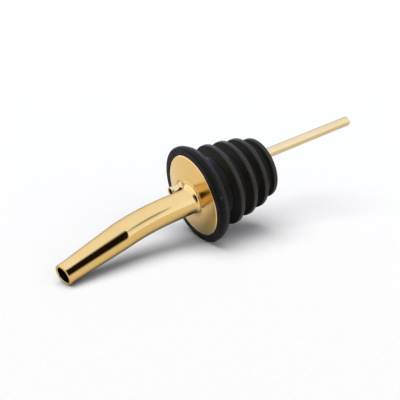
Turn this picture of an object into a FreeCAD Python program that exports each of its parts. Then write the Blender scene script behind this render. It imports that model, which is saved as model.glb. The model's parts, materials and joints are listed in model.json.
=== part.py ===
import FreeCAD, Part
import math
import os

import Sketcher

# Free-pouring liquor spout with a finned rubber cork, lying on a table.
#
# Every piece is built in the pourer's own frame: X runs along the cork's axis towards the
# bottle, X = 0 is the front of the gold disc's edge, and the spout leaves towards -X and
# bends towards -Z. lay_down() then rolls and tilts all pieces together, so that the flange
# and the spout's tip rest on Z = 0, with the origin under the middle of the whole pourer.

DIMENSIONS = [
    # alias, value in mm or degrees, what it is
    ("disc_radius", 12.5, "outer radius of the domed disc"),
    ("disc_edge", 0.8, "height of the disc's straight edge"),
    ("dome_rise", 1.3, "height of the dome above the edge"),
    ("dome_ball", 60.74, "radius of the ball that the dome is part of"),
    ("edge_round", 0.3, "rounding of the disc's front edge"),
    ("spout_offset", 1.6, "distance of the spout's root from the cork's axis"),
    ("spout_radius", 3.95, "outer radius of the spout up to the end of its bend"),
    ("spout_bore", 3.2, "inner radius of the spout up to the end of its bend"),
    ("tip_radius", 3.0, "outer radius of the spout's tip"),
    ("tip_bore", 2.25, "inner radius of the spout's tip"),
    ("root_length", 9.9, "straight root, from the disc's edge plane to the bend"),
    ("bend_radius", 61.5, "radius of the bend, on the spout's centre line"),
    ("bend_angle", 15.1, "turn of the bend, in degrees"),
    ("taper_length", 18.0, "conical stretch after the bend"),
    ("tip_land", 1.8, "plain cylindrical stretch at the tip"),
    ("spout_braze_size", 1.5, "concave radius of the brazed joint round the spout"),
    ("breather_offset", 4.4, "distance of the breather tube from the cork's axis, at the disc"),
    ("breather_turn", 13.8, "turn of the breather about the cork's axis, off the spout's plane"),
    ("breather_lean", 1.15, "lean of the breather's tail towards the cork's axis, in degrees"),
    ("breather_radius", 1.6, "outer radius of the breather tube"),
    ("breather_bore", 1.15, "inner radius of the breather tube"),
    ("breather_stub", 4.7, "length of breather tube in front of the disc's edge plane"),
    ("breather_tail", 65.8, "length of breather tube behind the disc's edge plane"),
    ("breather_braze_size", 1.15, "concave radius of the brazed joint round the breather"),
    ("sleeve_radius", 6.6, "outer radius of the grip sleeve"),
    ("sleeve_bore", 6.1, "inner radius of the grip sleeve"),
    ("sleeve_length", 21.0, "length of the grip sleeve behind the disc"),
    ("rib_radius", 6.8, "outer radius of the sleeve's grip ribs"),
    ("rib_width", 1.0, "width of a grip rib"),
    ("rib_first", 6.0, "start of the first grip rib, along X"),
    ("rib_pitch", 6.0, "distance between grip ribs"),
    ("sleeve_braze_size", 0.35, "leg of the brazed bead between sleeve and disc"),
    ("cork_bore", 6.85, "bore of the cork, a running fit on the ribs"),
    ("cork_bore_chamfer", 0.6, "chamfer at the mouth of the cork's bore"),
    ("seat_gap", 0.05, "gap between the disc and its seat in the cork"),
    ("recess_gap", 0.15, "gap round the disc's edge in the cork's recess"),
    ("flange_radius", 15.1, "largest radius of the cork's flange"),
    ("flange_band", 1.7, "width of the flange at its largest radius"),
    ("flange_thickness", 3.5, "thickness of the flange"),
    ("flange_back_radius", 14.1, "radius of the flange's back edge"),
    ("flange_round", 0.9, "rounding of the flange's front edge"),
    ("core_radius", 9.5, "radius of the cork's core behind the flange"),
    ("core_taper", 0.065, "loss of core radius for each mm along X"),
    ("fin_land", 1.25, "width of a fin at its rim"),
    ("fin_flare", 0.35, "extra half width of a fin at its root"),
    ("fin_round", 0.25, "rounding of the fins' rims"),
    ("fin_a_place", 9.4, "middle of the first fin, along X"),
    ("fin_b_place", 14.6, "middle of the second fin, along X"),
    ("fin_c_place", 19.3, "middle of the third fin, along X"),
    ("fin_d_place", 24.2, "middle of the fourth fin, along X"),
    ("fin_a_radius", 12.75, "radius of the first fin"),
    ("fin_b_radius", 12.05, "radius of the second fin"),
    ("fin_c_radius", 11.25, "radius of the third fin"),
    ("fin_d_radius", 9.65, "radius of the fourth fin"),
    ("rest_roll", -78.5, "roll of the lying pourer about its own axis, in degrees"),
]

X_AXIS = FreeCAD.Vector(1, 0, 0)
Y_AXIS = FreeCAD.Vector(0, 1, 0)
Z_AXIS = FreeCAD.Vector(0, 0, 1)
ALONG_X = FreeCAD.Rotation(Z_AXIS, X_AXIS)

doc = FreeCAD.newDocument("liquor_pour_spout")
sheet = doc.addObject("Spreadsheet::Sheet", "Dims")


def fill_sheet():
    """Write every driving dimension into the sheet, with its alias and its meaning."""
    for row, (alias, value, meaning) in enumerate(DIMENSIONS, start=1):
        sheet.set(f"A{row}", meaning)
        sheet.set(f"B{row}", str(value))
        sheet.setAlias(f"B{row}", alias)
    doc.recompute()


class Dim:
    """A length that knows both its value and the sheet expression that gives it."""

    def __init__(self, value, expression):
        self.value = value
        self.expression = expression

    @staticmethod
    def wrap(other):
        return other if isinstance(other, Dim) else Dim(float(other), str(other))

    def __add__(self, other):
        other = Dim.wrap(other)
        return Dim(self.value + other.value, f"({self.expression} + {other.expression})")

    def __sub__(self, other):
        other = Dim.wrap(other)
        return Dim(self.value - other.value, f"({self.expression} - {other.expression})")

    def __mul__(self, other):
        other = Dim.wrap(other)
        return Dim(self.value * other.value, f"({self.expression} * {other.expression})")


def dim(alias):
    """The named cell of the sheet."""
    return Dim(float(sheet.get(alias)), f"Dims.{alias}")


def origin_plane(body, role):
    """One of the body's own origin planes."""
    return next(item for item in body.Origin.OriginFeatures if item.Role == role)


def bind(thing, **sizes):
    """Bind properties of an object to expressions of the sheet."""
    for name, size in sizes.items():
        thing.setExpression(name, Dim.wrap(size).expression)


def new_body(label):
    """An empty body for one sub-part."""
    body = doc.addObject("PartDesign::Body", label)
    body.Label = label
    return body


def ring_sketch(body, corners):
    """A closed outline in the body's XY plane, as (along X, radius) pairs of Dims."""
    sketch = body.newObject("Sketcher::SketchObject", f"{body.Name}_outline")
    sketch.AttachmentSupport = [(origin_plane(body, "XY_Plane"), "")]
    sketch.MapMode = "FlatFace"
    count = len(corners)
    for index in range(count):
        start = corners[index]
        end = corners[(index + 1) % count]
        first = FreeCAD.Vector(start[0].value, start[1].value, 0)
        last = FreeCAD.Vector(end[0].value, end[1].value, 0)
        sketch.addGeometry(Part.LineSegment(first, last), False)
    for index in range(count):
        following = (index + 1) % count
        sketch.addConstraint(Sketcher.Constraint("Coincident", index, 2, following, 1))
    for index, (along, radius) in enumerate(corners):
        if abs(along.value) < 1e-9:
            sketch.addConstraint(Sketcher.Constraint("PointOnObject", index, 1, -2))
        else:
            bind_distance(sketch, "DistanceX", index, along)
        bind_distance(sketch, "DistanceY", index, radius)
    return sketch


def bind_distance(sketch, kind, index, size):
    """Hold the start of line number index at a driven distance from the origin."""
    number = sketch.addConstraint(Sketcher.Constraint(kind, -1, 1, index, 1, size.value))
    sketch.setExpression(f"Constraints[{number}]", size.expression)


def turned(body, corners):
    """Turn a closed outline about the X axis into the body's solid."""
    sketch = ring_sketch(body, corners)
    turn = body.newObject("PartDesign::Revolution", f"{body.Name}_turned")
    turn.Profile = sketch
    turn.ReferenceAxis = (sketch, ["H_Axis"])
    turn.Angle = 360
    doc.recompute()
    return turn


def circle_edges(shape, radius, along):
    """Names of the shape's circles of this radius about X, at this place along X."""
    names = []
    for number, edge in enumerate(shape.Edges, start=1):
        if not isinstance(edge.Curve, Part.Circle):
            continue
        same_radius = abs(edge.Curve.Radius - radius) < 1e-4
        if same_radius and abs(edge.Curve.Center.x - along) < 1e-4:
            names.append(f"Edge{number}")
    return names


def rounded(body, feature, circles, size):
    """Round circles, given as (along X, radius) pairs, of a turned feature."""
    names = []
    for along, radius in circles:
        names += circle_edges(feature.Shape, radius.value, along.value)
    if len(names) != len(circles):
        raise RuntimeError(f"{body.Label}: {len(names)} of {len(circles)} edges found")
    fillet = body.newObject("PartDesign::Fillet", f"{body.Name}_round_{len(body.Group)}")
    fillet.Base = (feature, names)
    bind(fillet, Radius=size)
    doc.recompute()
    return fillet


def rod(name, radius, length, start, direction=X_AXIS):
    """A round bar from a start point along a direction."""
    bar = doc.addObject("Part::Cylinder", name)
    bind(bar, Radius=radius, Height=length)
    bar.Placement = FreeCAD.Placement(start, FreeCAD.Rotation(Z_AXIS, direction))
    return bar


def subtract(name, base, tool):
    """The base without the tool."""
    cut = doc.addObject("Part::Cut", name)
    cut.Base = base
    cut.Tool = tool
    return cut


def join(name, pieces):
    """One solid from pieces that meet."""
    union = doc.addObject("Part::MultiFuse", name)
    union.Shapes = pieces
    union.Refine = True
    return union


def spout_axis():
    """Start of the root, end of the bend and direction of the tapered stretch."""
    turn = math.radians(dim("bend_angle").value)
    reach = dim("bend_radius").value
    root = FreeCAD.Vector(dim("disc_edge").value, 0, -dim("spout_offset").value)
    bend_start = FreeCAD.Vector(-dim("root_length").value, 0, root.z)
    shift = FreeCAD.Vector(-reach * math.sin(turn), 0, -reach * (1 - math.cos(turn)))
    heading = FreeCAD.Vector(-math.cos(turn), 0, -math.sin(turn))
    return root, bend_start, bend_start + shift, heading


def spout_solid(name, radius, end_radius):
    """A solid bar of the spout's course: root, bend, cone and land at the tip."""
    root, bend_start, bend_end, heading = spout_axis()
    straight = rod(f"{name}_root", radius, dim("root_length") + dim("disc_edge"), root, -X_AXIS)
    bend = doc.addObject("Part::Torus", f"{name}_bend")
    bind(bend, Radius1=dim("bend_radius"), Radius2=radius, Angle3=dim("bend_angle"))
    centre = bend_start - Z_AXIS * dim("bend_radius").value
    bend.Placement = FreeCAD.Placement(centre, FreeCAD.Rotation(Z_AXIS, -X_AXIS, -Y_AXIS, "XYZ"))
    cone = doc.addObject("Part::Cone", f"{name}_taper")
    bind(cone, Radius1=radius, Radius2=end_radius, Height=dim("taper_length"))
    cone.Placement = FreeCAD.Placement(bend_end, FreeCAD.Rotation(Z_AXIS, heading))
    land_start = bend_end + heading * dim("taper_length").value
    land = rod(f"{name}_land", end_radius, dim("tip_land"), land_start, heading)
    return join(name, [straight, bend, cone, land])


def make_spout_tube():
    """The bent pouring tube, tapering to its mouth."""
    outside = spout_solid("spout_outside", dim("spout_radius"), dim("tip_radius"))
    inside = spout_solid("spout_inside", dim("spout_bore"), dim("tip_bore"))
    return subtract("spout_tube", outside, inside)


def breather_axis():
    """Where the breather's axis passes the disc's edge plane, and its direction."""
    turn = math.radians(dim("breather_turn").value)
    lean = math.radians(dim("breather_lean").value)
    outward = FreeCAD.Vector(0, -math.sin(turn), math.cos(turn))
    return outward * dim("breather_offset").value, X_AXIS * math.cos(lean) - outward * math.sin(lean)


def breather_rod(name, radius):
    """A solid bar of the breather's length, where the breather runs."""
    middle, direction = breather_axis()
    start = middle - direction * dim("breather_stub").value
    return rod(name, radius, dim("breather_tail") + dim("breather_stub"), start, direction)


def make_breather_tube():
    """The straight air tube, from its stub beside the spout to its far end."""
    outside = breather_rod("breather_outside", dim("breather_radius"))
    inside = breather_rod("breather_inside", dim("breather_bore"))
    return subtract("breather_tube", outside, inside)


def dome_solid(name):
    """The domed disc before the tubes pass through it."""
    ball = doc.addObject("Part::Sphere", f"{name}_ball")
    bind(ball, Radius=dim("dome_ball"))
    centre = dim("dome_ball").value - dim("dome_rise").value
    ball.Placement = FreeCAD.Placement(X_AXIS * centre, FreeCAD.Rotation())
    reach = dim("dome_rise") * 2
    start = X_AXIS * -reach.value
    blank = rod(f"{name}_blank", dim("disc_radius"), reach + dim("disc_edge"), start)
    dome = doc.addObject("Part::MultiCommon", name)
    dome.Shapes = [ball, blank]
    return dome


def fillet_edges(name, base, chosen, size):
    """Round the chosen edges, given by a test on each edge, of a Part object."""
    doc.recompute()
    numbers = [n for n, edge in enumerate(base.Shape.Edges, start=1) if chosen(edge)]
    if not numbers:
        raise RuntimeError(f"{name}: no edge to round")
    fillet = doc.addObject("Part::Fillet", name)
    fillet.Base = base
    fillet.Edges = [(number, size.value, size.value) for number in numbers]
    doc.recompute()
    return fillet


def make_cap_disc(dome):
    """The domed disc, with its front edge rounded and both tubes let through."""
    radius = dim("disc_radius").value

    def front_edge(edge):
        round_edge = isinstance(edge.Curve, Part.Circle)
        return round_edge and abs(edge.Curve.Radius - radius) < 1e-3 and edge.Curve.Center.x < 0.1

    soft = fillet_edges("disc_rounded", dome, front_edge, dim("edge_round"))
    root, bend_start, bend_end, heading = spout_axis()
    start = FreeCAD.Vector(bend_start.x, 0, root.z)
    length = dim("root_length") + dim("breather_tail")
    spout_way = rod("spout_way", dim("spout_radius"), length, start)
    tubes = join("disc_holes", [spout_way, breather_rod("breather_way", dim("breather_radius"))])
    return subtract("cap_disc", soft, tubes)


def side_block(name, towards_breather):
    """A block that fills one side of the plane halfway between the spout and the breather."""
    middle, direction = breather_axis()
    spout_middle = FreeCAD.Vector(0, 0, -dim("spout_offset").value)
    across = middle - spout_middle
    gap = across.Length - dim("spout_radius").value - dim("breather_radius").value
    across.normalize()
    halfway = spout_middle + across * (dim("spout_radius").value + gap / 2)
    size = dim("disc_radius") * 2
    block = doc.addObject("Part::Box", name)
    bind(block, Length=size, Width=size, Height=size)
    turn = FreeCAD.Rotation(Z_AXIS, across if towards_breather else -across)
    corner = turn.multVec(FreeCAD.Vector(size.value / 2, size.value / 2, 0))
    block.Placement = FreeCAD.Placement(halfway - corner, turn)
    return block


def braze_ring(name, dome, tube, radius, centre_z, size, beyond):
    """The concave brazed joint where a tube leaves the dome, on its side of a block."""
    joint = join(f"{name}_joint", [dome, tube])
    doc.recompute()

    def seam(edge):
        box = edge.BoundBox
        middle = (box.ZMin + box.ZMax) / 2
        spans_tube = abs(box.ZLength - 2 * radius) < 0.05 and abs(middle - centre_z) < 0.05
        return spans_tube and box.XMax < 0 and box.XMin > -2 * dim("dome_rise").value

    flared = fillet_edges(f"{name}_flared", joint, seam, size)
    whole = subtract(f"{name}_whole", flared, joint)
    return subtract(name, whole, beyond)


def make_spout_braze(dome):
    """The smooth flare between the spout's root and the disc."""
    root, bend_start, bend_end, heading = spout_axis()
    start = FreeCAD.Vector(bend_start.x, 0, root.z)
    tube = rod("spout_braze_tube", dim("spout_radius"), dim("root_length"), start)
    return braze_ring("spout_braze", dome, tube, dim("spout_radius").value,
                      -dim("spout_offset").value, dim("spout_braze_size"),
                      side_block("spout_braze_limit", True))


def make_breather_braze(dome):
    """The small flare between the breather's stub and the disc."""
    middle, direction = breather_axis()
    start = middle - direction * dim("breather_stub").value
    tube = rod("breather_braze_tube", dim("breather_radius"), dim("breather_stub"), start, direction)
    return braze_ring("breather_braze", dome, tube, dim("breather_radius").value,
                      middle.z, dim("breather_braze_size"),
                      side_block("breather_braze_limit", False))


def make_grip_sleeve():
    """The sleeve under the disc, whose ribs grip the cork's bore."""
    front = dim("disc_edge")
    back = front + dim("sleeve_length")
    outside = dim("sleeve_radius")
    corners = [(front, dim("sleeve_bore")), (front, outside)]
    for index in range(3):
        start = dim("rib_first") + dim("rib_pitch") * index
        slope = dim("rib_width") * 0.5
        corners += [(start - slope, outside), (start, dim("rib_radius"))]
        end = start + dim("rib_width")
        corners += [(end, dim("rib_radius")), (end + slope, outside)]
    corners += [(back, outside), (back, dim("sleeve_bore"))]
    body = new_body("grip_sleeve")
    turned(body, corners)
    return body


def make_sleeve_braze():
    """The bead of braze between the sleeve's outside and the back of the disc."""
    front = dim("disc_edge")
    leg = dim("sleeve_braze_size")
    outside = dim("sleeve_radius")
    body = new_body("sleeve_braze")
    turned(body, [(front, outside), (front, outside + leg), (front + leg, outside)])
    return body


def fin_corners(letter):
    """Front root, front rim and back rim of one fin."""
    place = dim(f"fin_{letter}_place")
    radius = dim(f"fin_{letter}_radius")
    half = dim("fin_land") * 0.5
    root = half + dim("fin_flare")
    return [(place - root, core_at(place - root)), (place - half, radius),
            (place + half, radius), (place + root, core_at(place + root))]


def core_at(along):
    """Radius of the cork's tapering core at a place along X."""
    return dim("core_radius") - (along - dim("flange_thickness")) * dim("core_taper")


def make_rubber_cork():
    """The cork: a flange with a recess for the disc, and four fins on a tapering core."""
    seat = dim("disc_edge") + dim("seat_gap")
    recess = dim("disc_radius") + dim("recess_gap")
    face = Dim(0.0, "0")
    back = dim("flange_thickness")
    bore = dim("cork_bore")
    chamfer = dim("cork_bore_chamfer")
    corners = [(seat + chamfer, bore), (seat, bore + chamfer), (seat, recess), (face, recess),
               (face, dim("flange_radius")), (dim("flange_band"), dim("flange_radius")),
               (back, dim("flange_back_radius")), (back, core_at(back))]
    for letter in "abc":
        corners += fin_corners(letter)
    last_fin = fin_corners("d")[:3]
    end = last_fin[2][0]
    corners += last_fin + [(end, bore)]
    body = new_body("rubber_cork")
    blank = turned(body, corners)
    soft = rounded(body, blank, [(face, dim("flange_radius"))], dim("flange_round"))
    rims = [(back, dim("flange_back_radius"))]
    for letter in "abcd":
        front_root, front_rim, back_rim = fin_corners(letter)[:3]
        rims += [front_rim, back_rim]
    rounded(body, soft, rims, dim("fin_round"))
    return body


def resting_tilt(roll):
    """Angle that lifts the bottle end so that the flange and the tip touch the table."""
    root, bend_start, bend_end, heading = spout_axis()
    length = dim("taper_length").value + dim("tip_land").value
    tip = roll.multVec(bend_end + heading * length)
    tip_normal = roll.multVec(heading)
    round_off = dim("flange_round").value
    flange_ring = dim("flange_radius").value - round_off

    def lowest(centre, normal, radius, thickness):
        return centre.z - radius * math.sqrt(max(0, 1 - normal.z ** 2)) - thickness

    low, high = 0.0, 45.0
    for step in range(60):
        middle = (low + high) / 2
        tilt = FreeCAD.Rotation(Y_AXIS, -middle)
        flange = lowest(tilt.multVec(X_AXIS * round_off), tilt.multVec(X_AXIS), flange_ring, round_off)
        mouth = lowest(tilt.multVec(tip), tilt.multVec(tip_normal), dim("tip_radius").value, 0)
        if mouth > flange:
            low = middle
        else:
            high = middle
    return middle


def lay_down(pieces):
    """Give all pieces the one placement in which the pourer rests on the table."""
    roll = FreeCAD.Rotation(X_AXIS, dim("rest_roll").value)
    tilt = FreeCAD.Rotation(Y_AXIS, -resting_tilt(roll))
    lying = FreeCAD.Placement(FreeCAD.Vector(), tilt.multiply(roll))
    whole = Part.makeCompound([piece.Shape.copy() for piece in pieces])
    whole.Placement = lying
    box = whole.optimalBoundingBox(False, False)
    middle = FreeCAD.Vector((box.XMin + box.XMax) / 2, (box.YMin + box.YMax) / 2, box.ZMin)
    lying.Base = -middle
    for piece in pieces:
        piece.Placement = lying.multiply(piece.Placement)
    doc.recompute()
    return lying


def check_document(pieces):
    """Stop if any object failed or any sub-part is not one valid solid."""
    for item in doc.Objects:
        if "Invalid" in item.State or "Error" in item.State:
            raise RuntimeError(f"{item.Label} failed: {item.State}")
    for piece in pieces:
        shape = piece.Shape
        if shape.isNull() or not shape.isValid() or len(shape.Solids) != 1:
            raise RuntimeError(f"{piece.Label}: {len(shape.Solids)} solids, or not valid")


def main():
    fill_sheet()
    dome = dome_solid("dome")
    pieces = [
        make_spout_tube(),
        make_cap_disc(dome),
        make_spout_braze(dome),
        make_breather_tube(),
        make_breather_braze(dome),
        make_grip_sleeve(),
        make_sleeve_braze(),
        make_rubber_cork(),
    ]
    doc.recompute()
    lying = lay_down(pieces)
    check_document(pieces)
    print("pourer frame in row frame:", lying)
    os.makedirs("parts", exist_ok=True)
    for piece in pieces:
        piece.Shape.exportStep(f"parts/{piece.Label}.step")
        print(piece.Label, round(piece.Shape.Volume, 2), "mm3")


main()
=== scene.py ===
import json
import math

import bpy
from mathutils import Matrix, Vector

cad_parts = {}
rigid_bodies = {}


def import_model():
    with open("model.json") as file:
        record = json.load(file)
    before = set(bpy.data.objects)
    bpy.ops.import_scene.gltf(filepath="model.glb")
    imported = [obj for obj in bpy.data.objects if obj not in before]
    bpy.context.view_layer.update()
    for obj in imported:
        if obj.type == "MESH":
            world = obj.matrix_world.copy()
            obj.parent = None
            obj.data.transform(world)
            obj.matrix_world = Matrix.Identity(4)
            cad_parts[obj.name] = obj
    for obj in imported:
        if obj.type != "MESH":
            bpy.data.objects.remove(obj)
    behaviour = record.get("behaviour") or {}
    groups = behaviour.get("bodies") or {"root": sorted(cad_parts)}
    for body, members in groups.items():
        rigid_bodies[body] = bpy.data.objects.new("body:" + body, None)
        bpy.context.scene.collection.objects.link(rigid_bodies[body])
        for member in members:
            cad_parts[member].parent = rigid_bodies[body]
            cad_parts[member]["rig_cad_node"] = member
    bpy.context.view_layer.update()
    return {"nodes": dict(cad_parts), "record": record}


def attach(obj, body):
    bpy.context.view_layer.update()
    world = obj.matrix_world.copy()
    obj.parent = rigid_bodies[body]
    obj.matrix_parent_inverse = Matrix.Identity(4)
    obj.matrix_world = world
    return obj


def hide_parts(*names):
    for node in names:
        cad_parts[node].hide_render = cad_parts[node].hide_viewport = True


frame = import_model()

MM = 0.001
TAU = 2 * math.pi

# ---------------------------------------------------------------- the pourer's own frame
# X runs along the cork's axis towards the bottle end, X = 0 is the front of the gold
# disc's edge, and the spout leaves towards -X and bends towards -Z. Millimetres.

PLUG_PLACE = 24.2
SEAT_PLACE = 3.5


def mounts_by_name():
    """The record's mounts, keyed by their names."""
    return {mount["name"]: mount for mount in frame["record"]["mounts"]}


def pourer_frame():
    """Matrix from the pourer's own frame, in millimetres, to the row frame, in metres."""
    mounts = mounts_by_name()
    along = Vector(mounts["neck_plug"]["axis"]).normalized()
    origin = Vector(mounts["neck_plug"]["pos_m"]) - along * PLUG_PLACE * MM
    seat = Vector(mounts["lip_seat"]["pos_m"]) - (origin + along * SEAT_PLACE * MM)
    up = -(seat - along * seat.dot(along)).normalized()
    side = up.cross(along)
    axes = Matrix((along, side, up)).transposed().to_4x4()
    return Matrix.Translation(origin) @ axes @ Matrix.Scale(MM, 4)


TO_ROW = pourer_frame()

# Sizes of the gold parts, in millimetres and degrees.
SPOUT_OFFSET = 1.6
SPOUT_RADIUS = 3.95
SPOUT_BORE = 3.2
TIP_RADIUS = 3.0
TIP_BORE = 2.25
ROOT_START = 0.8
ROOT_LENGTH = 9.9
BEND_RADIUS = 61.5
BEND_ANGLE = 15.1
TAPER_LENGTH = 18.0
TIP_LAND = 1.8
MOUTH_ROUND = 0.16
BREATHER_OFFSET = 4.4
BREATHER_TURN = 13.8
BREATHER_LEAN = 1.15
BREATHER_RADIUS = 1.6
BREATHER_BORE = 1.15
BREATHER_STUB = 4.7
BREATHER_TAIL = 65.8
BREATHER_ROUND = 0.12

# Sizes of the cork, in millimetres.
CORK_BORE = 6.85
SEAT_FACE = 0.85
RECESS_RADIUS = 12.65
FLANGE_RADIUS = 15.1
FLANGE_BAND = 1.7
FLANGE_THICKNESS = 3.5
FLANGE_BACK_RADIUS = 14.1
FLANGE_ROUND = 0.9
CORE_RADIUS = 9.5
CORE_TAPER = 0.065
FIN_LAND = 1.25
FIN_FLARE = 0.35
FIN_ROOT = FIN_LAND / 2 + FIN_FLARE
FINS = ((9.4, 12.75), (14.6, 12.05), (19.3, 11.25), (24.2, 9.65))

# How far the cork's corners are rounded, in millimetres.
SEAT_EASE = 0.6
EASE_ROUND = 0.1
SEAT_ROUND = 0.15
RECESS_ROUND = 0.12
BAND_ROUND = 0.5
BACK_ROUND = 0.3
NECK_ROUND = 0.5
VALLEY_ROUND = 0.45
FIN_ROUND = 0.26
END_ROUND = 0.45
BORE_ROUND = 0.3


# ---------------------------------------------------------------- mesh tools

def new_piece(name, vertices, faces, body, stands_for):
    """A smooth-shaded mesh piece given in the pourer's own frame, riding on a CAD body."""
    mesh = bpy.data.meshes.new(name)
    mesh.from_pydata([TO_ROW @ Vector(v) for v in vertices], [], faces)
    mesh.validate()
    mesh.polygons.foreach_set("use_smooth", [True] * len(mesh.polygons))
    piece = bpy.data.objects.new(name, mesh)
    bpy.context.scene.collection.objects.link(piece)
    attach(piece, body)
    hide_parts(*stands_for)
    return piece


def ring_faces(rings, around):
    """Quads between consecutive rings of vertices, and from the last back to the first."""
    faces = []
    for index in range(rings):
        here = index * around
        there = ((index + 1) % rings) * around
        for step in range(around):
            after = (step + 1) % around
            faces.append((here + step, here + after, there + after, there + step))
    return faces


def arc(centre, radius, start, end, steps):
    """Points on an arc in the (along, radius) half plane; angles in degrees."""
    points = []
    for index in range(steps + 1):
        angle = math.radians(start + (end - start) * index / steps)
        points.append((centre[0] + radius * math.cos(angle),
                       centre[1] + radius * math.sin(angle)))
    return points


# ---------------------------------------------------------------- gold pieces

def on_bend(turn):
    """Centre and heading of the spout once its bend has turned through an angle."""
    shift = Vector((-math.sin(turn), 0, math.cos(turn) - 1)) * BEND_RADIUS
    heading = Vector((-math.cos(turn), 0, -math.sin(turn)))
    return Vector((-ROOT_LENGTH, 0, -SPOUT_OFFSET)) + shift, heading


ROOT_STEPS = 6
BEND_STEPS = 44
TAPER_STEPS = 26


def spout_course():
    """Points of the spout's centre line, their headings and their share of the taper."""
    stations = []
    start = Vector((ROOT_START, 0, -SPOUT_OFFSET))
    bend_start, root_heading = on_bend(0.0)
    for index in range(ROOT_STEPS):
        stations.append((start.lerp(bend_start, index / ROOT_STEPS), root_heading, 0.0))
    for index in range(BEND_STEPS):
        stations.append((*on_bend(math.radians(BEND_ANGLE) * index / BEND_STEPS), 0.0))
    bend_end, heading = on_bend(math.radians(BEND_ANGLE))
    for index in range(TAPER_STEPS + 1):
        share = index / TAPER_STEPS
        stations.append((bend_end + heading * TAPER_LENGTH * share, heading, share))
    tip = bend_end + heading * (TAPER_LENGTH + TIP_LAND - MOUTH_ROUND)
    stations.append((tip, heading, 1.0))
    return stations


def ring(centre, heading, radius, around):
    """A circle of points round a heading, started from the pourer's sideways direction."""
    side = (Vector((0, 1, 0)) - heading * heading.y).normalized()
    up = heading.cross(side).normalized()
    points = []
    for step in range(around):
        angle = TAU * step / around
        points.append(centre + (side * math.cos(angle) + up * math.sin(angle)) * radius)
    return points


LIP_STEPS = 6


def pipe(name, stations, outer, inner, lip, stands_for, around):
    """A tube wall along stations, with its open end's rim rounded by the lip radius."""
    vertices = []
    rings = 0
    for centre, heading, share in stations:
        vertices += ring(centre, heading, outer(share), around)
        rings += 1
    end, heading, share = stations[-1]
    wall_out = outer(share)
    wall_in = inner(share)
    for index in range(1, LIP_STEPS + 1):
        angle = math.radians(90 * index / LIP_STEPS)
        place = end + heading * lip * math.sin(angle)
        vertices += ring(place, heading, wall_out - lip * (1 - math.cos(angle)), around)
        rings += 1
    for index in range(LIP_STEPS + 1):
        angle = math.radians(90 * (1 - index / LIP_STEPS))
        place = end + heading * lip * math.sin(angle)
        vertices += ring(place, heading, wall_in + lip * (1 - math.cos(angle)), around)
        rings += 1
    for centre, heading, share in reversed(stations[:-1]):
        vertices += ring(centre, heading, inner(share), around)
        rings += 1
    return new_piece(name, vertices, ring_faces(rings, around), "pourer", stands_for)


def make_spout():
    """The bent, tapering pouring tube with its bore and its rounded mouth."""
    def outer(share):
        return SPOUT_RADIUS + (TIP_RADIUS - SPOUT_RADIUS) * share

    def inner(share):
        return SPOUT_BORE + (TIP_BORE - SPOUT_BORE) * share

    return pipe("pouring_tube", spout_course(), outer, inner, MOUTH_ROUND, ["spout_tube"], 128)


def breather_axis():
    """Where the breather's axis passes the disc's edge plane, and its direction."""
    turn = math.radians(BREATHER_TURN)
    lean = math.radians(BREATHER_LEAN)
    outward = Vector((0, -math.sin(turn), math.cos(turn)))
    return outward * BREATHER_OFFSET, Vector((math.cos(lean), 0, 0)) - outward * math.sin(lean)


def make_breather():
    """The straight air tube, with both of its ends cut square and rounded a little."""
    vertices = []
    rings = 0
    around = 72
    middle, heading = breather_axis()
    for along, radius in rim_profile(-BREATHER_STUB, BREATHER_TAIL):
        vertices += ring(middle + heading * along, heading, radius, around)
        rings += 1
    return new_piece("air_tube", vertices, ring_faces(rings, around), "pourer", ["breather_tube"])


CORNER_STEPS = 4
BARREL_STEPS = 24


def rim_profile(front, back):
    """Closed (along, radius) outline of the breather's wall, with four rounded corners."""
    size = BREATHER_ROUND
    outline = []
    outline += arc((front + size, BREATHER_RADIUS - size), size, 180, 90, CORNER_STEPS)
    middle = [front + (back - front) * step / BARREL_STEPS for step in range(1, BARREL_STEPS)]
    outline += [(along, BREATHER_RADIUS) for along in middle]
    outline += arc((back - size, BREATHER_RADIUS - size), size, 90, 0, CORNER_STEPS)
    outline += arc((back - size, BREATHER_BORE + size), size, 0, -90, CORNER_STEPS)
    outline += [(along, BREATHER_BORE) for along in reversed(middle)]
    outline += arc((front + size, BREATHER_BORE + size), size, -90, -180, CORNER_STEPS)
    return outline


DOME_BALL = 60.74
DOME_RISE = 1.3
FLARE_SIZE = 1.6
FLARE_SWELL = 0.5
FLARE_DEPTH = 0.06


def dome_front(side, up):
    """Place along X of the disc's domed front at a point across the cork's axis."""
    return DOME_BALL - DOME_RISE - math.sqrt(DOME_BALL ** 2 - side ** 2 - up ** 2)


def flare_section(angle, steps=10):
    """Closed section of the brazed flare at an angle round the spout, as (along, distance)."""
    size = FLARE_SIZE + FLARE_SWELL * math.sin(angle)
    wall = SPOUT_RADIUS - FLARE_DEPTH

    def front(distance):
        side = distance * math.cos(angle)
        return dome_front(side, distance * math.sin(angle) - SPOUT_OFFSET)

    corner = Vector((front(SPOUT_RADIUS), SPOUT_RADIUS))
    start = Vector((corner.x - size, SPOUT_RADIUS))
    end = Vector((front(SPOUT_RADIUS + size), SPOUT_RADIUS + size))
    section = [(start.x, wall)]
    for step in range(steps + 1):
        share = step / steps
        point = (start * (1 - share) + corner * share) * (1 - share)
        point += (corner * (1 - share) + end * share) * share
        section.append((point.x, point.y))
    section.append((end.x + FLARE_DEPTH, end.y))
    section.append((corner.x + FLARE_DEPTH, wall))
    return section


def make_root_flare():
    """The brazed flare round the spout's root, fuller on the breather's side."""
    around = 128
    sections = [flare_section(TAU * step / around) for step in range(around)]
    vertices = []
    for place in range(len(sections[0])):
        for step, section in enumerate(sections):
            angle = TAU * step / around
            along, distance = section[place]
            vertices.append((along, distance * math.cos(angle),
                             distance * math.sin(angle) - SPOUT_OFFSET))
    faces = ring_faces(len(sections[0]), around)
    return new_piece("root_flare", vertices, faces, "pourer", ["spout_braze"])


# ---------------------------------------------------------------- rubber cork

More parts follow.
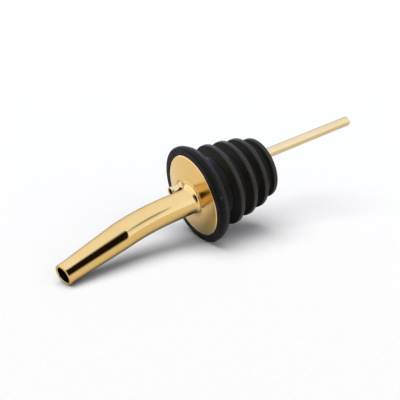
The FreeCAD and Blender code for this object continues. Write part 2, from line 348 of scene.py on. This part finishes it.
def core_at(along):
    """Radius of the cork's tapering core at a place along X."""
    return CORE_RADIUS - (along - FLANGE_THICKNESS) * CORE_TAPER


def fin_corners(place, radius, back_round):
    """A fin's corners as (along, radius, rounding), from its front root to its rim's back."""
    half = FIN_LAND / 2
    return [(place - FIN_ROOT, core_at(place - FIN_ROOT), VALLEY_ROUND),
            (place - half, radius, FIN_ROUND), (place + half, radius, back_round)]


def cork_outline():
    """Corners of the cork's section as (along, radius, rounding), in order."""
    corners = [(SEAT_FACE + SEAT_EASE, CORK_BORE, EASE_ROUND),
               (SEAT_FACE, CORK_BORE + SEAT_EASE, EASE_ROUND),
               (SEAT_FACE, RECESS_RADIUS, SEAT_ROUND), (0.0, RECESS_RADIUS, RECESS_ROUND),
               (0.0, FLANGE_RADIUS, FLANGE_ROUND), (FLANGE_BAND, FLANGE_RADIUS, BAND_ROUND),
               (FLANGE_THICKNESS, FLANGE_BACK_RADIUS, BACK_ROUND),
               (FLANGE_THICKNESS, core_at(FLANGE_THICKNESS), NECK_ROUND)]
    for place, radius in FINS[:-1]:
        corners += fin_corners(place, radius, FIN_ROUND)
        corners.append((place + FIN_ROOT, core_at(place + FIN_ROOT), VALLEY_ROUND))
    place, radius = FINS[-1]
    corners += fin_corners(place, radius, END_ROUND)
    corners.append((place + FIN_LAND / 2, CORK_BORE, BORE_ROUND))
    return corners


LONGEST_ROUND = 0.45
HOLD = 0.12


def softened(corners, steps=5):
    """Closed outline with every corner rounded and every straight held by close points.

    A rounding takes at most the LONGEST_ROUND share of the straights that it joins.
    """
    outline = []
    count = len(corners)
    for index, (along, radius, rounding) in enumerate(corners):
        here = Vector((along, radius))
        before = Vector(corners[index - 1][:2])
        after = Vector(corners[(index + 1) % count][:2])
        reach_in = min(rounding, LONGEST_ROUND * (before - here).length)
        reach_out = min(rounding, LONGEST_ROUND * (after - here).length)
        start = here + (before - here).normalized() * reach_in
        end = here + (after - here).normalized() * reach_out
        if (before - here).length > reach_in + 3 * HOLD:
            outline.append(start + (before - here).normalized() * HOLD)
        for step in range(steps + 1):
            share = step / steps
            outline.append((start * (1 - share) + here * share) * (1 - share)
                           + (here * (1 - share) + end * share) * share)
        if (after - here).length > reach_out + 3 * HOLD:
            outline.append(end + (after - here).normalized() * HOLD)
    return outline


PARTING_ANGLE = math.radians(-113)
PARTING_HEIGHT = 0.07
PARTING_HALF_WIDTH = math.radians(1.1)
PARTING_INNER = CORK_BORE + 0.7
PARTING_FRONT = SEAT_FACE + 0.2
RIM_DEPTH = 0.3


def parting_ridge(angle, radius, along):
    """Height of the mould's parting line, which runs along both sides of the cork."""
    apart = abs((angle - PARTING_ANGLE + math.pi / 2) % math.pi - math.pi / 2)
    inside = radius < PARTING_INNER or along < PARTING_FRONT
    if inside or apart > PARTING_HALF_WIDTH:
        return 0.0
    return PARTING_HEIGHT * (1 - apart / PARTING_HALF_WIDTH)


def make_cork():
    """The moulded cork, turned from its section, with rounded fins and a parting line."""
    around = 360
    outline = softened(cork_outline())
    vertices = []
    for point in outline:
        for step in range(around):
            angle = TAU * step / around
            radius = point.y + parting_ridge(angle, point.y, point.x)
            vertices.append((point.x, radius * math.cos(angle), radius * math.sin(angle)))
    faces = ring_faces(len(outline), around)
    return new_piece("finned_cork", vertices, faces, "cork", ["rubber_cork"])


def rim_highlight_radius(along):
    """Radius beyond which a place along the cork lies on a fin's rim, which gets the painted rim
    highlight.
    """
    for place, radius in FINS:
        if abs(along - place) <= FIN_LAND:
            return radius - RIM_DEPTH
    return FLANGE_RADIUS


def paint_rim_highlight(cork, rim):
    """Give the fins' rims their own lighter, glossier material: the lighter grey is a painted
    highlight along the rims.
    """
    cork.data.materials.append(rim)
    into_pourer = TO_ROW.inverted()
    for face in cork.data.polygons:
        centre = into_pourer @ face.center
        if math.hypot(centre.y, centre.z) > rim_highlight_radius(centre.x):
            face.material_index = 1


# ---------------------------------------------------------------- materials

GOLD = (0.715, 0.485, 0.185)
GOLD_DEEP = (0.69, 0.46, 0.16)
GOLD_EDGE = (0.42, 0.38, 0.40)
PALE = (0.70, 0.53, 0.27)
PALE_DEEP = (0.67, 0.50, 0.24)
RUBBER = (0.0030, 0.0027, 0.0024)
RUBBER_WORN = (0.0070, 0.0065, 0.0058)
# The fins' rims: lighter greys that are a painted highlight along the rims.
RIM_HIGHLIGHT = (0.011, 0.0105, 0.0098)
RIM_HIGHLIGHT_PATCHES = (0.019, 0.0182, 0.0172)
PRESSED = (0.80, 0.535, 0.195)
PRESSED_DEEP = (0.77, 0.50, 0.175)
SATIN = (0.74, 0.52, 0.25)
SATIN_DEEP = (0.68, 0.46, 0.21)
RUBBER_SHEEN = (1.0, 0.90, 0.68)
MATTE_SPREAD = 0.14
RUBBER_RELIEF = 2e-5


def new_material(name):
    """An empty node material with its surface shader, coordinates and output."""
    material = bpy.data.materials.new(name)
    material.use_nodes = True
    nodes = material.node_tree.nodes
    nodes.clear()
    output = nodes.new("ShaderNodeOutputMaterial")
    shader = nodes.new("ShaderNodeBsdfPrincipled")
    place = nodes.new("ShaderNodeTexCoord")
    material.node_tree.links.new(shader.outputs["BSDF"], output.inputs["Surface"])
    return material, shader, place


def noise(material, place, scale, detail, stretch=(1, 1, 1)):
    """A noise pattern in the row frame, stretched along the cork's axes if asked."""
    tree = material.node_tree
    turn = tree.nodes.new("ShaderNodeMapping")
    turn.vector_type = "TEXTURE"
    turn.inputs["Rotation"].default_value = TO_ROW.to_euler()
    turn.inputs["Scale"].default_value = stretch
    tree.links.new(place.outputs["Object"], turn.inputs["Vector"])
    texture = tree.nodes.new("ShaderNodeTexNoise")
    texture.inputs["Scale"].default_value = scale
    texture.inputs["Detail"].default_value = detail
    tree.links.new(turn.outputs["Vector"], texture.inputs["Vector"])
    return texture.outputs["Fac"]


def ramp(owner, source, stops):
    """Colours or greys of a material or world over a 0-1 source, from (position, colour) stops."""
    tree = owner.node_tree
    node = tree.nodes.new("ShaderNodeValToRGB")
    elements = node.color_ramp.elements
    for element, (position, colour) in zip(elements, stops):
        element.position = position
        element.color = colour
    for position, colour in stops[2:]:
        elements.new(position).color = colour
    tree.links.new(source, node.inputs["Fac"])
    return node.outputs["Color"]


def grey(value):
    """A grey as a colour with full opacity."""
    return (value, value, value, 1.0)


def bumped(material, shader, source, distance):
    """Relief on a shader from a 0-1 height, in metres."""
    tree = material.node_tree
    node = tree.nodes.new("ShaderNodeBump")
    node.inputs["Distance"].default_value = distance
    node.inputs["Strength"].default_value = 1.0
    tree.links.new(source, node.inputs["Height"])
    tree.links.new(node.outputs["Normal"], shader.inputs["Normal"])


def plated_gold(name, colour, deep_colour, rough, spread, relief, fades=True):
    """Polished gold plating: slight tint drift, polishing haze and faint wipe marks.

    Where it fades, its reflections turn darker at a grazing angle.
    """
    material, shader, place = new_material(name)
    shader.inputs["Metallic"].default_value = 1.0
    if fades:
        shader.inputs["Specular Tint"].default_value = (*GOLD_EDGE, 1.0)
    drift = noise(material, place, scale=70.0, detail=3.0)
    tint = ramp(material, drift, [(0.35, (*deep_colour, 1.0)), (0.65, (*colour, 1.0))])
    material.node_tree.links.new(tint, shader.inputs["Base Color"])
    haze = noise(material, place, scale=260.0, detail=6.0, stretch=(3.0, 1.0, 1.0))
    polish = ramp(material, haze, [(0.3, grey(rough)), (0.75, grey(rough + spread))])
    material.node_tree.links.new(polish, shader.inputs["Roughness"])
    wipes = noise(material, place, scale=420.0, detail=2.0, stretch=(4.0, 1.0, 1.0))
    bumped(material, shader, wipes, relief)
    return material


def moulded_rubber(name, base, worn_or_highlit, rough, gloss):
    """Matte black rubber: mould texture, dust caught in it and scuffed, greyer patches; on the fins'
    rims its lighter greys are a painted highlight.
    """
    material, shader, place = new_material(name)
    scuff = noise(material, place, scale=220.0, detail=8.0)
    tone = ramp(material, scuff, [(0.35, (*base, 1.0)), (0.75, (*worn_or_highlit, 1.0))])
    material.node_tree.links.new(tone, shader.inputs["Base Color"])
    grain = noise(material, place, scale=900.0, detail=5.0)
    matte = ramp(material, grain, [(0.3, grey(rough)), (0.7, grey(rough + MATTE_SPREAD))])
    material.node_tree.links.new(matte, shader.inputs["Roughness"])
    shader.inputs["Specular IOR Level"].default_value = gloss
    shader.inputs["Specular Tint"].default_value = (*RUBBER_SHEEN, 1.0)
    bumped(material, shader, noise(material, place, scale=2600.0, detail=6.0), RUBBER_RELIEF)
    return material


def paint(piece_or_node, material):
    """Give a piece one material and nothing else."""
    mesh = piece_or_node.data
    mesh.materials.clear()
    mesh.materials.append(material)


# ---------------------------------------------------------------- stage, light, camera

# The surround's colours from the horizon up.
HORIZON = (1.36, 1.53, 2.04)
SKY = (1.33, 1.49, 1.99)
OVERHEAD = (1.24, 1.38, 1.85)
FLOOR_REACH = 4.0

# The black card stands upright beside the spout, in metres. Its right edge is cut to follow
# the dark mark on the taper, and its foot and its top fade.
CARD_LEFT = -0.075
CARD_NEAR = -0.037
CARD_TOP = 0.080
CARD_BLACK_TOP = 0.043
CARD_EDGE = [(-0.0075, 0.0), (-0.0099, 0.027), (-0.0094, CARD_BLACK_TOP), (-0.0115, CARD_TOP)]
CARD_BLACK = (0.010, 0.007, 0.004, 1.0)
CARD_SHADES = [(0.03, grey(0.75)), (0.12, CARD_BLACK),
               (CARD_BLACK_TOP / CARD_TOP, CARD_BLACK), (0.95, (*SKY, 1.0))]

# The outline of the gap flag, a dark sheet standing in for the shade in the gap between stub and
# spout, in millimetres, as (along, across).
GAP_SHADE_OUTLINE = [(-1.3, -2.3), (-1.3, 2.3), (-3.7, 1.0), (-3.7, -1.0)]


def stage_mesh(name, corners, material):
    """A flat stage piece with these corners, in metres."""
    mesh = bpy.data.meshes.new(name)
    mesh.from_pydata(corners, [], [tuple(range(len(corners)))])
    piece = bpy.data.objects.new(name, mesh)
    bpy.context.scene.collection.objects.link(piece)
    piece.data.materials.append(material)
    return piece


def make_floor():
    """A large pale table top with a faint paper tooth."""
    material, shader, place = new_material("white_paper")
    fibre = noise(material, place, scale=900.0, detail=5.0)
    tone = ramp(material, fibre, [(0.3, grey(0.86)), (0.7, grey(0.88))])
    material.node_tree.links.new(tone, shader.inputs["Base Color"])
    shader.inputs["Roughness"].default_value = 0.9
    shader.inputs["Specular IOR Level"].default_value = 0.1
    ways = [(-1, -1), (1, -1), (1, 1), (-1, 1)]
    corners = [(FLOOR_REACH * across, FLOOR_REACH * back, 0) for across, back in ways]
    stage_mesh("floor", corners, material)


def only_mirrored(piece):
    """Let a stage piece be seen in reflections alone."""
    piece.visible_camera = False
    piece.visible_shadow = False
    piece.visible_diffuse = False


def black_card():
    """A flag in front of the spout's taper, black with faded edges, that only reflections see."""
    material = bpy.data.materials.new("black_card")
    material.use_nodes = True
    tree = material.node_tree
    tree.nodes.clear()
    output = tree.nodes.new("ShaderNodeOutputMaterial")
    glow = tree.nodes.new("ShaderNodeEmission")
    place = tree.nodes.new("ShaderNodeTexCoord")
    parts = tree.nodes.new("ShaderNodeSeparateXYZ")
    height = tree.nodes.new("ShaderNodeMath")
    height.operation = "DIVIDE"
    height.inputs[1].default_value = CARD_TOP
    tree.links.new(place.outputs["Object"], parts.inputs["Vector"])
    tree.links.new(parts.outputs["Z"], height.inputs[0])
    shade = ramp(material, height.outputs["Value"], CARD_SHADES)
    tree.links.new(shade, glow.inputs["Color"])
    tree.links.new(glow.outputs["Emission"], output.inputs["Surface"])
    outline = [(CARD_LEFT, 0.0), *CARD_EDGE, (CARD_LEFT, CARD_TOP)]
    corners = [(across, CARD_NEAR, up) for across, up in outline]
    only_mirrored(stage_mesh("black_card", corners, material))


def gap_shade_flag():
    """A small black flag in the gap between stub and spout, which only reflections see: painted
    shade in the crotch.
    """
    # Painted shade: this near-black sheet stands in for the shadowed gap where the two tubes nearly
    # touch.
    material, shader, place = new_material("painted_gap_shade")
    shade_grain = noise(material, place, scale=300.0, detail=4.0)
    tone = ramp(material, shade_grain, [(0.3, grey(0.004)), (0.7, grey(0.008))])
    material.node_tree.links.new(tone, shader.inputs["Base Color"])
    shader.inputs["Roughness"].default_value = 0.95
    shader.inputs["Specular IOR Level"].default_value = 0.1
    spout_middle = Vector((0, 0, -SPOUT_OFFSET))
    across = breather_axis()[0] - spout_middle
    gap = across.length - SPOUT_RADIUS - BREATHER_RADIUS
    across.normalize()
    centre = spout_middle + across * (SPOUT_RADIUS + gap / 2)
    side = across.cross(Vector((1, 0, 0)))
    corners = [TO_ROW @ (centre + Vector((along, 0, 0)) + side * width) for along, width in GAP_SHADE_OUTLINE]
    only_mirrored(stage_mesh("gap_shade_flag", corners, material))


def soft_sun(name, heading, strength, spread):
    """An even light along a heading, softened by its spread in degrees."""
    data = bpy.data.lights.new(name, "SUN")
    data.energy = strength
    data.angle = math.radians(spread)
    light = bpy.data.objects.new(name, data)
    light.rotation_euler = Vector(heading).to_track_quat("-Z", "Y").to_euler()
    bpy.context.scene.collection.objects.link(light)
    light.visible_camera = False
    light.visible_glossy = False


def make_world():
    """An even, cool white surround for camera and reflections, brighter at the horizon."""
    world = bpy.data.worlds.new("studio")
    world.use_nodes = True
    tree = world.node_tree
    tree.nodes.clear()
    output = tree.nodes.new("ShaderNodeOutputWorld")
    glow = tree.nodes.new("ShaderNodeBackground")
    place = tree.nodes.new("ShaderNodeTexCoord")
    parts = tree.nodes.new("ShaderNodeSeparateXYZ")
    tree.links.new(place.outputs["Generated"], parts.inputs["Vector"])
    stops = [(0.0, (*HORIZON, 1.0)), (0.16, (*SKY, 1.0)), (0.9, (*OVERHEAD, 1.0))]
    tree.links.new(ramp(world, parts.outputs["Z"], stops), glow.inputs["Color"])
    tree.links.new(glow.outputs["Background"], output.inputs["Surface"])
    world.cycles_visibility.diffuse = False
    bpy.context.scene.world = world


CAMERA_PLACE = (-0.09694, -0.14512, 0.0678)
CAMERA_HEADING = (0.50114, 0.80923, -0.30662)
LENS = 54.0


def make_camera():
    """The camera, on the spout's side of the part and in front of it, looking a little down."""
    data = bpy.data.cameras.new("camera")
    data.lens = LENS
    data.sensor_width = 36.0
    data.clip_start = 0.005
    data.clip_end = 50.0
    camera = bpy.data.objects.new("camera", data)
    camera.location = CAMERA_PLACE
    camera.rotation_euler = Vector(CAMERA_HEADING).to_track_quat("-Z", "Y").to_euler()
    bpy.context.scene.collection.objects.link(camera)
    bpy.context.scene.camera = camera


def quiet_mirrors(pieces):
    """Leave these pieces out of reflections, so that the tubes shine evenly to their roots."""
    for piece in pieces:
        piece.visible_glossy = False


def dress(nodes):
    """Build every piece and give each piece and CAD node its material."""
    gold = plated_gold("gold_plate", GOLD, GOLD_DEEP, rough=0.045, spread=0.05, relief=1.2e-6)
    pale = plated_gold("pale_plate", PALE, PALE_DEEP, rough=0.05, spread=0.05, relief=1.2e-6)
    seam = plated_gold("braze", GOLD, GOLD_DEEP, rough=0.06, spread=0.06, relief=2e-6)
    satin = plated_gold("sleeve_plate", SATIN, SATIN_DEEP, rough=0.26, spread=0.12, relief=3e-6)
    pressed = plated_gold("pressed_plate", PRESSED, PRESSED_DEEP, rough=0.16, spread=0.06,
                          relief=1e-6, fades=False)
    rubber = moulded_rubber("black_rubber", RUBBER, RUBBER_WORN, rough=0.42, gloss=0.085)
    # The rims' lighter grey is a painted highlight; their higher gloss is the shader's own.
    rim = moulded_rubber("rubber_rim_highlight", RIM_HIGHLIGHT, RIM_HIGHLIGHT_PATCHES, rough=0.38, gloss=0.26)
    spout = make_spout()
    breather = make_breather()
    cork = make_cork()
    pieces = {
        spout: (gold, "gold_plate"),
        breather: (pale, "gold_plate"),
        cork: (rubber, "black_rubber"),
        nodes["cap_disc"]: (pressed, "gold_plate"),
        make_root_flare(): (pressed, "braze"),
        nodes["breather_braze"]: (seam, "braze"),
        nodes["sleeve_braze"]: (seam, "braze"),
        nodes["grip_sleeve"]: (satin, "sleeve_metal"),
    }
    for piece, (material, slot) in pieces.items():
        paint(piece, material)
    for name in ("spout_tube", "breather_tube", "spout_braze"):
        paint(nodes[name], gold)
    paint(nodes["rubber_cork"], rubber)
    paint_rim_highlight(cork, rim)
    quiet_mirrors((cork, nodes["cap_disc"]))


def light_studio():
    """Floor, flags, surround, a soft light from above and a fill from the camera's side."""
    make_floor()
    black_card()
    gap_shade_flag()
    make_world()
    soft_sun("key", heading=(0.26, 0.05, -1.0), strength=2.35, spread=54.0)
    soft_sun("fill", heading=(0.2, 0.8, -0.8), strength=1.75, spread=90.0)


def main():
    """Dress the part, set the stage and the camera, and set the render's caustics and view."""
    dress(frame["nodes"])
    light_studio()
    make_camera()
    bpy.context.scene.cycles.caustics_reflective = False
    bpy.context.scene.view_settings.view_transform = "Standard"


main()
